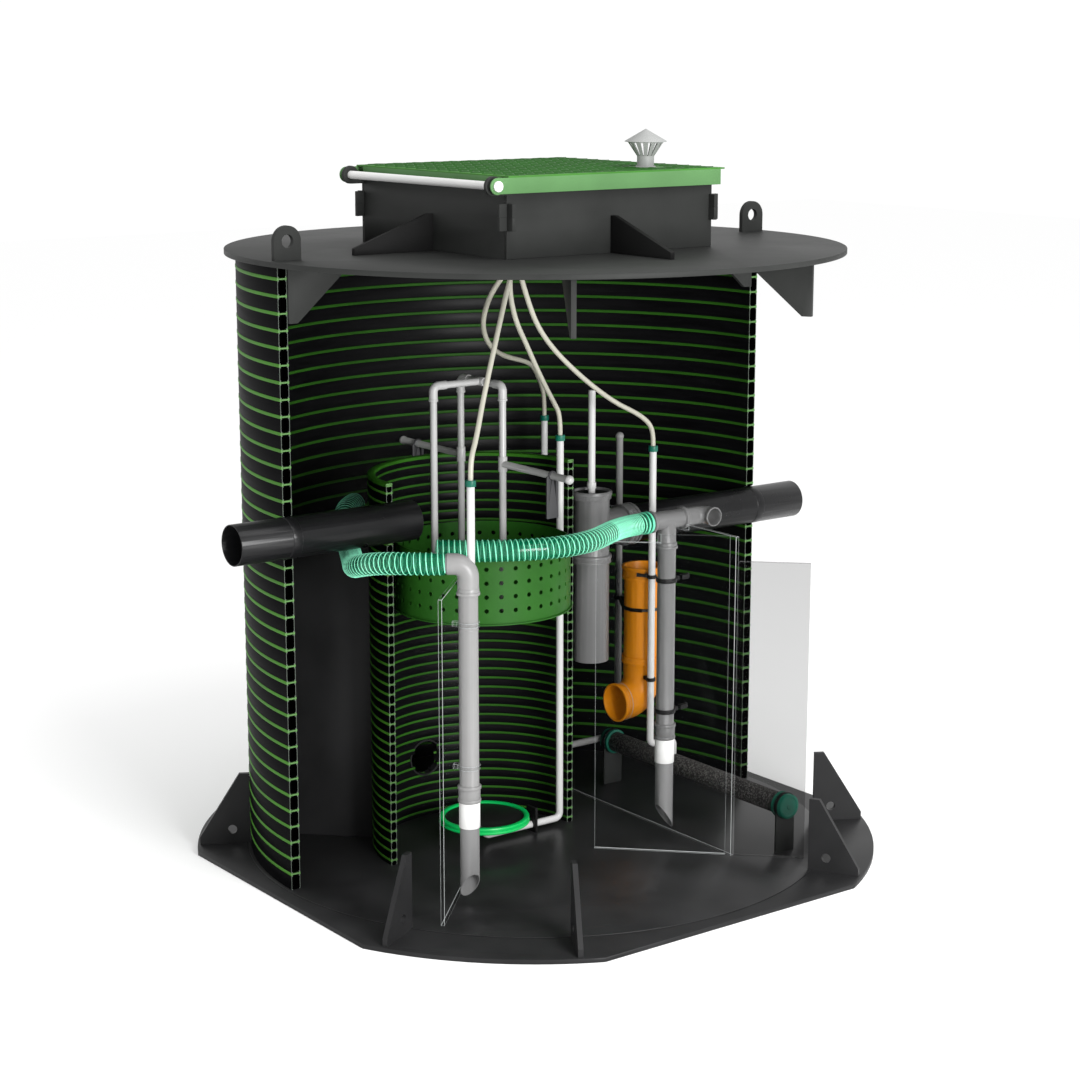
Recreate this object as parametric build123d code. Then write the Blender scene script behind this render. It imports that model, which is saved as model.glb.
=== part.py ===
from build123d import *
import math
import os

# Packaged sewage treatment plant, shown as a cutaway: the round outer wall and the
# inner tank keep only their rear half (y > 0), everything else is whole.
# Millimetres, +Z up. The tank axis is x = y = 0, the underside of the base is z = 0.
# The inlet pipe comes in along +X from the left, the outlet pipe leaves along +X.

# Running gap between round pieces that seat on each other
gap = 0.3

# Base, floor and cover plates
base_r = 1421
base_flat = 1273
base_t = 18
floor_r = 1212
floor_t = 4
floor_z = base_t + floor_t
cover_r = 1244
cover_t = 20
cover_top = 2495

# Outer wall: wound from hollow bands, with a bead between each two
wall_r = 1200
wall_t = 40
wall_parts = 5
wall_pitch = 65
wall_bead = 10
wall_first = 49
skin_t = 3
cell_depth = 60

# Inner tank
inner_x = -268
inner_r = 463
inner_t = 28
inner_top = 1598
inner_parts = 3
inner_pitch = 41
inner_bead = 8
inner_first = 39
transfer_hole_r = 75
transfer_hole_z = 283

# Stiffening gussets and lifting eyes
gusset_t = 20
base_gusset_top = 320
base_gusset_crown = 42
base_gusset_reach = 210
base_gusset_end = 50
base_gusset_hole_r = 19
base_gusset_hole_z = 80
base_gusset_hole_in = 75
cover_gusset_drop = 218
cover_gusset_reach = 290
cover_gusset_toe = 40
eye_w = 116
eye_h = 129
eye_hole_r = 25
eye_inset = 28

# Neck: four plates that cross at the corners
neck_cx = 12
neck_cy = 20
neck_w = 1005
neck_d = 1000
neck_t = 15
neck_top = 2775
neck_tab = 34
neck_tab_h = 100
neck_tab_z = 2652
neck_gusset_rise = 144
neck_gusset_reach = 362
neck_gusset_end = 26

# Hinge rod and lid
rod_r = 16
rod_cap_r = 20
rod_cap_t = 8
rod_out = 60
rod_z = 2769
rod_fit = 0.08
ear_r = 36
lid_z = 2800
lid_t = 6
lid_over = 45
lid_side_gap = 19
lid_skirt_t = 6
lid_skirt_h = 60
lid_rod_edge = 51
lid_rod_skirt_h = 36
lid_eye_r = 31

# Vent cap on the lid
vent_x = 317
vent_y = -305
vent_r = 34
vent_wall = 4
vent_neck_h = 46
vent_flare_r = 70
vent_flare_h = 52
vent_rim_r = 83
vent_rim_t = 5
vent_cone_h = 50
vent_slots = 10

# Partition panels
panel_t = 15
panel_top = 1361
outer_panel_top = 1260
left_panel_top = 1361
front_left_panel_top = 1290
right_panel_x = 455

# Drain pipes
drain_r = 80
drain_wall = 4
drain_collar = 1.5
inlet_z = 1440
inlet_start = -1424
inlet_end = -609
outlet_z = 1289
outlet_start = 450
outlet_end = 1428

# Outlet baffle tee
tee_x = 292
tee_r = 76
tee_wall = 4
tee_top = 1456
tee_bottom = 724
tee_branch_end = 508
tee_socket_wall = 6
tee_socket_l = 62
tee_mid_socket_z = 1150

# Transfer bend through the right partition
bend_x = 574
bend_z = 508
bend_top = 1098
bend_mouth = 426
bend_socket_l = 58
bend_collar_z = 671
bend_r = 100

# Air-lift pumps
lift_r = 37.5
lift_wall = 3
lift_socket_r = 42
lift_socket_z = 1262
lift_coupling_r = 40.5
lift_tip = 57
lift_coupling_low = 349
lift_coupling_high = 450
lift_z = 1381
front_lift_x = -742
front_lift_y = -572
front_lift_arm = 84
back_lift_x = 385
back_lift_y = -383
back_lift_left = 96
back_lift_right = 195
back_lift_mouth = 72
lift_elbow_r = 50

# Air pipes
air_r = 15
air_coupling_r = 20
air_coupling_h = 23
diffuser_pipe_z = 52
front_air_top = 1675
tee_air_top = 1879
stub = (570, 700, 1480, 1636)
inner_air = (126, 0, 1684)
guard = (602, 200, 480, 1628)
feed = (533, -110, 1612, 330)

# Disc diffuser
disc_z = 116
disc_r = 190
disc_ring_w = 26
disc_ring_h = 30

# Tube diffuser
tube_x = 663
tube_z = 220
tube_r = 44
tube_cap_r = 52
tube_cap_l = 48
tube_back = 335
tube_front = -850
feed_y = 368
feed_x = 85

# Screen basket and its lifting frame
basket_r = 357
basket_t = 5
basket_bottom = 1045
basket_top = 1322
basket_lip = 8
basket_hole_r = 9
basket_holes = 38
basket_rows = 4
basket_row_z = 1103
basket_row_pitch = 56
frame_r = 14
frame_top = 1963
frame_left = 230
frame_back = 142
frame_front = 148
frame_arm_z = 1648
frame_arm_reach = 575

# Flexible tubes and hoses
manifold_z = 2520
air_tube_r = 10
hose_r = 44

wall_top = cover_top - cover_t
neck_x0 = neck_cx - neck_w / 2
neck_x1 = neck_cx + neck_w / 2
neck_y0 = neck_cy - neck_d / 2
neck_y1 = neck_cy + neck_d / 2
rod_x = neck_x0 - rod_out
wall_in = wall_r - wall_t


def disc(r, z0, z1, x=0, y=0):
    return Pos(x, y, (z0 + z1) / 2) * Cylinder(r, z1 - z0)


def pipe(r, wall, z0, z1, x=0, y=0):
    return disc(r, z0, z1, x, y) - disc(r - wall, z0 - 1, z1 + 1, x, y)


def block(x0, x1, y0, y1, z0, z1):
    return Pos((x0 + x1) / 2, (y0 + y1) / 2, (z0 + z1) / 2) * Box(x1 - x0, y1 - y0, z1 - z0)


def rod(a, b, r):
    """round bar between two points"""
    a, b = Vector(*a), Vector(*b)
    axis = (b - a).normalized()
    return Plane(origin=(a + b) * 0.5, z_dir=axis) * Cylinder(r, (b - a).length)


def run(*points, r=air_r, bend=None):
    """round bar through several points, with one bend radius"""
    path = FilletPolyline(*points, radius=bend or 1.7 * r)
    start = Plane(origin=path @ 0, z_dir=path % 0)
    return sweep(start * Circle(r), path=path)


def ring_part(r, t, z0, z1, a0, a1, x=0):
    """upright wall between two angles about (x, 0)"""
    with BuildSketch() as s:
        with BuildLine():
            outer = CenterArc((0, 0), r, a0, a1 - a0)
            inner = CenterArc((0, 0), r - t, a0, a1 - a0)
            Line(outer @ 0, inner @ 0)
            Line(outer @ 1, inner @ 1)
        make_face()
    return Pos(x, 0, z0) * extrude(s.sketch, z1 - z0)


def levels(top, first, pitch):
    """heights of the beads, from the top down"""
    z = top - first
    while z > floor_z + pitch / 8:
        yield z
        z -= pitch


def cells(r, t, top, first, pitch, bead, x=0):
    """open cells that the wound bands show at both cut faces"""
    heights = [top] + list(levels(top, first, pitch)) + [floor_z]
    made = []
    for high, low in zip(heights, heights[1:]):
        z0, z1 = low + bead / 2, high - bead / 2
        for side in (1, -1):
            inner, outer = x + side * (r - t + skin_t), x + side * (r - skin_t)
            made.append(block(min(inner, outer), max(inner, outer), -1, cell_depth, z0, z1))
    return made


def radial_plate(points, angle, t=gusset_t):
    """upright plate through the tank axis, drawn as (radius, height) points"""
    face = Plane.XZ * make_face(Polyline(*points, close=True))
    return Rot(0, 0, angle) * (Pos(0, t / 2, 0) * extrude(face, t))


def write(shape, name):
    shape.label = name
    export_step(shape, f"parts/{name}.step")


def together(*shapes):
    solids = []
    for s in shapes:
        solids += s.solids()
    return Compound(children=solids)


os.makedirs("parts", exist_ok=True)

# Base plate: a disc with four flats, under a thinner round floor
base = disc(base_r, 0, base_t) & Box(2 * base_flat, 2 * base_flat, 4 * base_t)
write(base, "base_plate")
write(disc(floor_r, base_t, floor_z), "floor_disc")

# Outer wall, rear half, in equal parts; the drain pipes pass at both cut ends
inlet_bore = rod((inlet_start - 1, 0, inlet_z), (inlet_end + 1, 0, inlet_z), drain_r + gap)
collar_in = rod((-wall_r, 0, inlet_z), (-wall_in, 0, inlet_z), drain_r + drain_collar)
collar_out = rod((wall_in, 0, outlet_z), (wall_r, 0, outlet_z), drain_r + drain_collar)
collar_bore = drain_r + drain_collar + gap
passages = [rod((-wall_r - 5, 0, inlet_z), (-wall_in + 5, 0, inlet_z), collar_bore),
            rod((wall_in - 5, 0, outlet_z), (wall_r + 5, 0, outlet_z), collar_bore)]
step = 180 / wall_parts
for i in range(wall_parts):
    part = ring_part(wall_r, wall_t, floor_z, wall_top, i * step, (i + 1) * step)
    part -= passages
    if i in (0, wall_parts - 1):
        part -= cells(wall_r, wall_t, wall_top, wall_first, wall_pitch, wall_bead)
    write(part, f"outer_wall_{i + 1}")

# Inner tank, rear half, with the transfer hole at its back
step = 180 / inner_parts
hole = rod((inner_x, inner_r - 2 * inner_t, transfer_hole_z), (inner_x, inner_r + 10, transfer_hole_z),
           transfer_hole_r)
for i in range(inner_parts):
    part = ring_part(inner_r, inner_t, floor_z, inner_top, i * step, (i + 1) * step, inner_x)
    part = part - inlet_bore - hole
    if i in (0, inner_parts - 1):
        part -= cells(inner_r, inner_t, inner_top, inner_first, inner_pitch, inner_bead, inner_x)
    write(part, f"inner_tank_{i + 1}")

# Base gussets: two on each rounded side of the base, notched over the floor edge
r0 = wall_r + gap
foot = floor_r + gap
tip = wall_r + base_gusset_reach
profile = [(foot, base_t), (foot, floor_z + gap), (r0, floor_z + gap), (r0, base_gusset_top),
           (r0 + base_gusset_crown, base_gusset_top), (tip, base_gusset_end), (tip, base_t)]
eye = rod((r0 + base_gusset_hole_in, -gusset_t, base_gusset_hole_z),
          (r0 + base_gusset_hole_in, gusset_t, base_gusset_hole_z), base_gusset_hole_r)
plate = radial_plate(profile, 0) - eye
write(together(*[Rot(0, 0, a) * plate for a in (30, 60, 120, 150, 210, 240, 300, 330)]), "base_gussets")

# Cover plate, open under the neck
opening = block(neck_x0 + neck_t, neck_x1 - neck_t, neck_y0 + neck_t, neck_y1 - neck_t,
                wall_top - 1, cover_top + 1)
write(disc(cover_r, wall_top, cover_top) - opening, "cover_plate")

# Cover gussets hang inside the wall, every 60 degrees
r0 = wall_in - gap
low = wall_top - cover_gusset_drop
profile = [(r0, wall_top), (r0, low), (r0 - cover_gusset_toe, low), (r0 - cover_gusset_reach, wall_top)]
plate = radial_plate(profile, 0)
write(together(*[Rot(0, 0, a) * plate for a in range(0, 360, 60)]), "cover_gussets")

# Lifting eyes over the left and right gussets
eye_r = eye_w / 2
eye_x = cover_r - eye_w - eye_inset + eye_r
top = cover_top + eye_h
body = block(eye_x - eye_r, eye_x + eye_r, -gusset_t / 2, gusset_t / 2, cover_top, top - eye_r)
round_top = rod((eye_x, -gusset_t / 2, top - eye_r), (eye_x, gusset_t / 2, top - eye_r), eye_r)
bore = rod((eye_x, -gusset_t, top - eye_r), (eye_x, gusset_t, top - eye_r), eye_hole_r)
plate = body + round_top - bore
write(together(plate, Rot(0, 0, 180) * plate), "lifting_eyes")


# Neck plates. The left and right plates carry tabs that pass through the front and
# back plates, and the other way round; the front and back plates hold the rod ears.
def x_plate(y0, y1):
    """plate across the neck, along X, with an ear for the hinge rod"""
    tab = (neck_tab_z - neck_tab_h / 2, neck_tab_z + neck_tab_h / 2)
    body = block(neck_x0, neck_x1, y0, y1, cover_top, neck_top)
    body += block(neck_x0 - neck_tab, neck_x1 + neck_tab, y0, y1, neck_tab_z, tab[1])
    body += block(rod_x, neck_x0, y0, y1, rod_z - ear_r, neck_top)
    body += rod((rod_x, y0, rod_z), (rod_x, y1, rod_z), ear_r)
    return body - rod((rod_x, y0 - 1, rod_z), (rod_x, y1 + 1, rod_z), rod_r + gap)


def y_plate(x0, x1):
    """plate along Y; its tabs fill the lower half of each crossing"""
    body = block(x0, x1, neck_y0 + neck_t, neck_y1 - neck_t, cover_top, neck_top)
    body += block(x0, x1, neck_y0 - neck_tab, neck_y1 + neck_tab, neck_tab_z - neck_tab_h / 2, neck_tab_z)
    return body


left = y_plate(neck_x0, neck_x0 + neck_t)
right = y_plate(neck_x1 - neck_t, neck_x1)
front = x_plate(neck_y0, neck_y0 + neck_t) - left - right
back = x_plate(neck_y1 - neck_t, neck_y1) - left - right
write(together(front, back), "neck_cross_plates")
write(together(left, right), "neck_side_plates")

# Neck gussets: one sloped plate in the middle of each side
half_t = gusset_t / 2
profile = [(0, 0), (0, neck_gusset_rise), (25, neck_gusset_rise), (neck_gusset_reach, neck_gusset_end),
           (neck_gusset_reach, 0)]
plate = Pos(0, half_t, cover_top) * extrude(Plane.XZ * make_face(Polyline(*profile, close=True)), gusset_t)
write(together(Pos(neck_x1, neck_cy, 0) * plate, Pos(neck_x0, neck_cy, 0) * Rot(0, 0, 180) * plate,
               Pos(neck_cx, neck_y1, 0) * Rot(0, 0, 90) * plate,
               Pos(neck_cx, neck_y0, 0) * Rot(0, 0, -90) * plate), "neck_gussets")

# Hinge rod with end caps outside the lid skirts
skirt_y0 = neck_y0 - lid_side_gap - lid_skirt_t
skirt_y1 = neck_y1 + lid_side_gap + lid_skirt_t
cap_y0 = skirt_y0 - gap
cap_y1 = skirt_y1 + gap
hinge = rod((rod_x, cap_y0, rod_z), (rod_x, cap_y1, rod_z), rod_r)
hinge += rod((rod_x, cap_y0 - rod_cap_t, rod_z), (rod_x, cap_y0, rod_z), rod_cap_r)
hinge += rod((rod_x, cap_y1, rod_z), (rod_x, cap_y1 + rod_cap_t, rod_z), rod_cap_r)
write(hinge, "hinge_rod")

# Lid: top plate with a skirt all round; the front and back skirts turn on the rod
lid_x0 = rod_x + lid_rod_edge
lid_x1 = neck_x1 + lid_over
top_plate = block(lid_x0, lid_x1, skirt_y0, skirt_y1, lid_z, lid_z + lid_t)
skirt_x1 = lid_x1 - 20


def lid_skirt(y0, y1):
    body = block(rod_x, skirt_x1, y0, y1, lid_z - lid_skirt_h, lid_z)
    body += rod((rod_x, y0, rod_z), (rod_x, y1, rod_z), lid_eye_r)
    return body - rod((rod_x, y0 - 1, rod_z), (rod_x, y1 + 1, rod_z), rod_r + rod_fit)


lid = top_plate + lid_skirt(skirt_y0, skirt_y0 + lid_skirt_t) + lid_skirt(skirt_y1 - lid_skirt_t, skirt_y1)
lid += block(skirt_x1 - lid_skirt_t, skirt_x1, skirt_y0, skirt_y1, lid_z - lid_skirt_h, lid_z)
lid += block(lid_x0, lid_x0 + lid_skirt_t / 2, neck_y0 + neck_t + 8, neck_y1 - neck_t - 8, lid_z - lid_rod_skirt_h, lid_z)
vent_bore = disc(vent_r - vent_wall, lid_z - 1, lid_z + lid_t + 1, vent_x, vent_y)
write(lid - vent_bore, "lid_panel")

# Vent cap: short neck, slotted flare and a cone on top
z0 = lid_z + lid_t
z1 = z0 + vent_neck_h
z2 = z1 + vent_flare_h
z3 = z2 + vent_rim_t
profile = [(vent_r - vent_wall, z0), (vent_r, z0), (vent_r, z1), (vent_flare_r, z2), (vent_rim_r, z2),
           (vent_rim_r, z3), (3, z3 + vent_cone_h), (0, z3 + vent_cone_h), (0, z3),
           (vent_flare_r - vent_wall, z2), (vent_r - vent_wall, z1)]
cap = Pos(vent_x, vent_y, 0) * revolve(Plane.XZ * make_face(Polyline(*profile, close=True)), Axis.Z)
slot = Pos(vent_x, vent_y, (z1 + z2) / 2 + 3) * Box(2 * vent_rim_r, 9, vent_flare_h * 0.66)
turn = 180 / vent_slots
for k in range(vent_slots):
    cap -= Pos(vent_x, vent_y, 0) * Rot(0, 0, turn * k) * Pos(-vent_x, -vent_y, 0) * slot
write(cap, "vent_cap")


# Partition panels. Three run outwards from the inner tank, the fourth crosses the tank.
def from_inner(angle, s0, s1, z1):
    """panel between two distances from the inner tank's axis"""
    body = block(s0, s1, -panel_t / 2, panel_t / 2, floor_z, z1)
    return Pos(inner_x, 0, 0) * Rot(0, 0, angle) * body


def reach(angle):
    """distance from the inner tank's axis to the outer wall along an angle"""
    c = inner_x * math.cos(math.radians(angle))
    return math.sqrt(c * c + wall_in ** 2 - inner_x ** 2) - c


s0 = inner_r + gap
drop = panel_t / 2 + gap
write(from_inner(135, s0, reach(135) - drop, left_panel_top), "partition_left")
write(from_inner(225, s0, reach(225) - drop, front_left_panel_top), "partition_front_left")
cross = (right_panel_x - inner_x) / math.cos(math.radians(45))
near = 0.5 * panel_t * (1 + math.sqrt(2)) + 2 * gap
front_right = from_inner(315, s0, cross - near, panel_top)
outer_right = from_inner(315, cross + near, reach(315) - drop, outer_panel_top)
hose_notch = block(60, 240, -560, -300, panel_top - 35, panel_top + 1)
write(front_right - hose_notch, "partition_front")
write(outer_right, "partition_front_right")

y1 = math.sqrt(wall_in ** 2 - (right_panel_x + panel_t / 2) ** 2) - gap
y0 = -(right_panel_x - inner_x) - panel_t
right = block(right_panel_x - panel_t / 2, right_panel_x + panel_t / 2, y0, y1, floor_z, panel_top)
right -= rod((400, 0, outlet_z), (520, 0, outlet_z), tee_r + tee_socket_wall + tee_wall + 2)
right -= block(400, 520, -60, 60, outlet_z, panel_top + 1)
right -= rod((400, 0, bend_z), (520, 0, bend_z), drain_r + gap)
right -= block(400, 520, back_lift_y - lift_socket_r - 5, back_lift_y + lift_socket_r + 5, lift_z - lift_socket_r - 3,
               panel_top + 1)
right -= rod((400, feed_y, tube_z), (520, feed_y, tube_z), air_r + gap)
write(right, "partition_right")

# Drain pipes, each with a collar inside the outer wall
write(rod((inlet_start, 0, inlet_z), (inlet_end, 0, inlet_z), drain_r) + collar_in
      - rod((inlet_start - 1, 0, inlet_z), (inlet_end + 1, 0, inlet_z), drain_r - drain_wall), "inlet_pipe")
write(rod((outlet_start, 0, outlet_z), (outlet_end, 0, outlet_z), drain_r) + collar_out
      - rod((outlet_start - 1, 0, outlet_z), (outlet_end + 1, 0, outlet_z), drain_r - drain_wall), "outlet_pipe")

# Outlet baffle tee: a dip pipe with sockets, and a branch whose socket holds the outlet pipe
socket_r = drain_r + gap + tee_socket_wall
tee = disc(tee_r, tee_bottom, tee_top - 1, tee_x)
for z in (tee_top - 34, tee_mid_socket_z):
    tee += disc(tee_r + 7, z, z + 34, tee_x)
tee += rod((tee_x, 0, outlet_z), (tee_branch_end, 0, outlet_z), tee_r)
tee += rod((tee_branch_end - tee_socket_l, 0, outlet_z), (tee_branch_end, 0, outlet_z), socket_r)
tee -= disc(tee_r - tee_wall, tee_bottom - 1, tee_top + 1, tee_x)
tee -= rod((tee_x, 0, outlet_z), (tee_branch_end + 1, 0, outlet_z), tee_r - tee_wall)
tee -= rod((outlet_start - gap, 0, outlet_z), (tee_branch_end + 1, 0, outlet_z), drain_r + gap)
write(tee, "outlet_tee")
seal = disc(tee_r - tee_wall - gap, tee_top - 22, tee_top - 10, tee_x) - disc(air_r + gap, 0, tee_top, tee_x)
write(seal, "tee_seal")

# Transfer bend: an upright pipe with a bell on top that turns through the right partition
way = [(bend_x, 0, bend_top), (bend_x, 0, bend_z), (bend_mouth, 0, bend_z)]
bend = run(*way, r=drain_r, bend=bend_r) + disc(drain_r + 8, bend_top - bend_socket_l, bend_top, bend_x)
bend += disc(drain_r + 8, bend_collar_z, bend_collar_z + 30, bend_x)
write(bend - run(*way, r=drain_r - drain_wall, bend=bend_r), "transfer_bend")


# Air-lift pumps: slanted tip, white coupling, socket, riser and head
def lift_tip_pipe(x, y, turn):
    body = pipe(lift_r, lift_wall, lift_tip, lift_coupling_low, x, y)
    cut = Pos(x, y, lift_tip + lift_r) * Rot(0, 0, turn) * Rot(0, 45, 0) * Pos(0, 0, -60) * Box(300, 300, 120)
    return body - cut


def lift_riser(x, y, z1):
    body = disc(lift_r, lift_coupling_high, z1, x, y)
    body += disc(lift_socket_r, lift_coupling_high, lift_coupling_high + 68, x, y)
    body += disc(lift_socket_r, lift_socket_z, lift_socket_z + 27, x, y)
    return body


def lift_coupling(x, y):
    return pipe(lift_coupling_r, lift_coupling_r - lift_r + lift_wall, lift_coupling_low, lift_coupling_high, x, y)


x, y = front_lift_x, front_lift_y
end = (x - 0.8 * front_lift_arm, y + 0.6 * front_lift_arm, lift_z)
way = [(x, y, lift_coupling_high), (x, y, lift_z), end]
bore = lift_r - lift_wall
head = lift_riser(x, y, lift_z - lift_elbow_r) + run(*way, r=lift_r, bend=lift_elbow_r)
head -= run(*way, r=bore, bend=lift_elbow_r)
air_x, air_y = x + 14, y
write(head - disc(air_r + gap, lift_z, lift_z + 60, air_x, air_y), "airlift_front")

x, y = back_lift_x, back_lift_y
way = [(x - back_lift_left, y, lift_z), (x + back_lift_right, y, lift_z),
       (x + back_lift_right, y - back_lift_mouth, lift_z)]
head = lift_riser(x, y, lift_z) + run(*way, r=lift_r, bend=lift_elbow_r)
head += rod((x + 70, y, lift_z), (x + 95, y, lift_z), lift_socket_r)
head -= disc(bore, lift_coupling_high - 1, lift_z, x, y)
write(head - run(*way, r=bore, bend=lift_elbow_r), "airlift_back")
write(together(lift_tip_pipe(front_lift_x, front_lift_y, 143), lift_tip_pipe(back_lift_x, back_lift_y, -37)),
      "airlift_tips")
write(together(lift_coupling(front_lift_x, front_lift_y), lift_coupling(back_lift_x, back_lift_y)),
      "airlift_couplings")


# Air pipes
def coupling(x, y, z):
    return disc(air_coupling_r, z, z + air_coupling_h, x, y)


lift_air = disc(air_r, lift_z, front_air_top, air_x, air_y)
stub_air = disc(air_r, stub[2], stub[3], stub[0], stub[1])
disc_air = run((inner_air[0], inner_air[1], inner_air[2]), (inner_air[0], 0, diffuser_pipe_z),
               (inner_x, 0, diffuser_pipe_z), (inner_x, 0, disc_z))
tee_air = disc(air_r, tee_top - 70, tee_air_top, tee_x) + disc(air_r + 4, tee_top + 9, tee_top + 34, tee_x)
rail = disc(air_r, guard[2], guard[3], guard[0], guard[1]) + Pos(guard[0], guard[1], guard[3]) * Sphere(air_r + 3)
write(rail, "guide_rod")
tube_air = run((feed[0], feed[1], feed[2]), (feed[0], feed[1], feed[3]), (tube_x, feed[1], feed[3]),
               (tube_x, feed[1], tube_z + tube_r - 2))
tube_body = rod((tube_x, tube_front + tube_cap_l, tube_z), (tube_x, tube_back - tube_cap_l, tube_z), tube_r)
tube_air -= rod((tube_x, tube_front, tube_z), (tube_x, tube_back, tube_z), tube_r + gap)
write(together(lift_air, stub_air, disc_air, tee_air, tube_air), "air_pipes")
heads = [(air_x, air_y, front_air_top), (stub[0], stub[1], stub[3]), (inner_air[0], 0, inner_air[2]),
         (feed[0], feed[1], feed[2])]
write(together(*[coupling(*h) for h in heads]), "air_couplings")

# Disc diffuser: ring with a domed membrane on the end of its pipe
ring = pipe(disc_r, disc_ring_w, disc_z, disc_z + disc_ring_h, inner_x)
write(ring, "disc_diffuser_ring")
write(disc(disc_r - disc_ring_w - gap, disc_z, disc_z + disc_ring_h - 8, inner_x), "disc_diffuser_membrane")
clip = block(-26, -14, -32, 32, floor_z, 130) - rod((-40, 0, diffuser_pipe_z), (0, 0, diffuser_pipe_z), air_r + gap)

# Tube diffuser with end caps on two upright plates
write(tube_body, "tube_diffuser")
caps = []
for a, b in ((tube_front, tube_front + tube_cap_l), (tube_back - tube_cap_l, tube_back)):
    caps.append(rod((tube_x, a, tube_z), (tube_x, b, tube_z), tube_cap_r))
write(together(*caps), "tube_diffuser_caps")
stands = []
for y in (tube_front + tube_cap_l / 2, tube_back - tube_cap_l / 2):
    s = block(tube_x - 50, tube_x + 50, y - 5, y + 5, floor_z, tube_z)
    stands.append(s - rod((tube_x, y - 10, tube_z), (tube_x, y + 10, tube_z), tube_cap_r + gap))
write(together(*stands), "tube_diffuser_stands")
feed_pipe = run((tube_x, tube_back, tube_z), (tube_x, feed_y, tube_z), (feed_x, feed_y, tube_z))
write(feed_pipe, "tube_feed_pipe")

# Screen basket: open round basket hung from a three-legged frame
basket = disc(basket_r, basket_bottom, basket_top, inner_x) - disc(basket_r - basket_t, basket_bottom + basket_t,
                                                                  basket_top + 1, inner_x)
basket += pipe(basket_r + basket_lip, basket_lip + 1, basket_bottom, basket_bottom + basket_t, inner_x)
hole = Rot(0, 90, 0) * Cylinder(basket_hole_r, 4 * basket_t)
holes = []
for row in range(basket_rows):
    for k in range(basket_holes):
        spot = Rot(0, 0, 360 / basket_holes * k) * Pos(basket_r, 0, basket_row_z + row * basket_row_pitch)
        holes.append(Pos(inner_x, 0, 0) * spot * hole)
write(basket - holes, "screen_basket")
legs_z = basket_bottom + basket_t
hub = (inner_x, 8, frame_top)
left_leg = (inner_x - frame_left, 8)
back_leg = (inner_x, 8 + frame_back)
front_leg = (inner_x, 8 - frame_front)
frame = run((left_leg[0], left_leg[1], legs_z), (left_leg[0], left_leg[1], frame_top), hub, r=frame_r)
frame += run((back_leg[0], back_leg[1], legs_z), (back_leg[0], back_leg[1], frame_top),
             (front_leg[0], front_leg[1], frame_top), (front_leg[0], front_leg[1], legs_z), r=frame_r)
frame += rod((hub[0], hub[1] - 30, hub[2]), (hub[0], hub[1] + 30, hub[2]), frame_r + 4)
for y, reach_y in ((back_leg[1], frame_arm_reach), (front_leg[1], -frame_arm_reach)):
    frame += disc(frame_r + 4, frame_arm_z - 30, frame_arm_z + 30, inner_x, y)
    frame += rod((inner_x, y, frame_arm_z), (inner_x, reach_y, frame_arm_z), frame_r)
for y in (frame_arm_reach, -frame_arm_reach):
    frame += Pos(inner_x, y, frame_arm_z) * Sphere(frame_r + 4)
write(frame, "basket_frame")

# Rim hooks: a plate outside the inner tank's rim, strapped to each arm of the frame
hooks = []
for side in (1, -1):
    y0 = side * (inner_r + gap)
    y1 = side * (inner_r + gap + 8)
    plate = block(inner_x - 28, inner_x + 28, min(y0, y1), max(y0, y1), 1481, frame_arm_z)
    strap = rod((inner_x, min(y0, y1), frame_arm_z), (inner_x, max(y0, y1), frame_arm_z), frame_r + 6)
    hook = plate + strap - rod((inner_x, -700, frame_arm_z), (inner_x, 700, frame_arm_z), frame_r + gap)
    hooks.append(hook)
write(together(*hooks), "frame_hooks")

# Clamps that hold the pipes
clamps = []
for z in (1130, 572):
    x, y = back_lift_x, back_lift_y
    c = disc(lift_r + 6, z - 9, z + 9, x, y) + block(x, right_panel_x - panel_t / 2 - gap, y - 12, y + 12, z - 9, z + 9)
    clamps.append(c - disc(lift_r + gap, z - 20, z + 20, x, y))
for z in (1072, 620):
    x, y = feed[0], feed[1]
    c = disc(air_r + 6, z - 8, z + 8, x, y) + block(x - 10, x + 10, y, -70, z - 8, z + 8)
    c -= disc(air_r + gap, z - 20, z + 20, x, y)
    socket = drain_r + 8 if z > bend_top - bend_socket_l else drain_r
    clamps.append(c - disc(socket + gap, z - 20, z + 20, bend_x))
x, y = guard[0], guard[1]
c = disc(air_r + 6, 907, 923, x, y) + block(x - 10, x + 10, 60, y, 907, 923)
c -= disc(air_r + gap, 900, 930, x, y)
clamps.append(c - disc(drain_r + gap, 900, 930, bend_x))
write(together(clip, *clamps), "pipe_clamps")
clamps = []
for z in (1150, 590):
    x, y = front_lift_x, front_lift_y
    away = (x - y - inner_x) / math.sqrt(2) - panel_t / 2 - gap
    c = disc(lift_r + 6, z - 9, z + 9) + Rot(0, 0, 135) * block(0, away, -12, 12, z - 9, z + 9)
    clamps.append(Pos(x, y, 0) * (c - disc(lift_r + gap, z - 20, z + 20)))
write(together(*clamps), "clear_clamps")

# Air manifold in the corner of the neck
m_x = neck_x0 + neck_t
m_y = neck_y0 + neck_t
write(block(m_x, m_x + 92, m_y, m_y + 72, manifold_z, manifold_z + 70), "air_manifold")


# Flexible tubes and hoses: straight runs joined by tangent arcs
def cord(name, points, r):
    points = [Vector(*p) for p in points]
    radii = []
    for a, b, c in zip(points, points[1:], points[2:]):
        u, v = b - a, c - b
        turn = math.radians(u.get_angle(v))
        radii.append(0.45 * min(u.length, v.length) / math.tan(turn / 2))
    path = FilletPolyline(*points, radius=radii)
    tube = sweep(Plane(origin=points[0], z_dir=path % 0) * Circle(r), path=path)
    print(name, "length", round(path.length), "radii", [round(q) for q in radii],
          "volume ratio", round(tube.volume / (math.pi * r * r * path.length), 4))
    write(tube, name)


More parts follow.
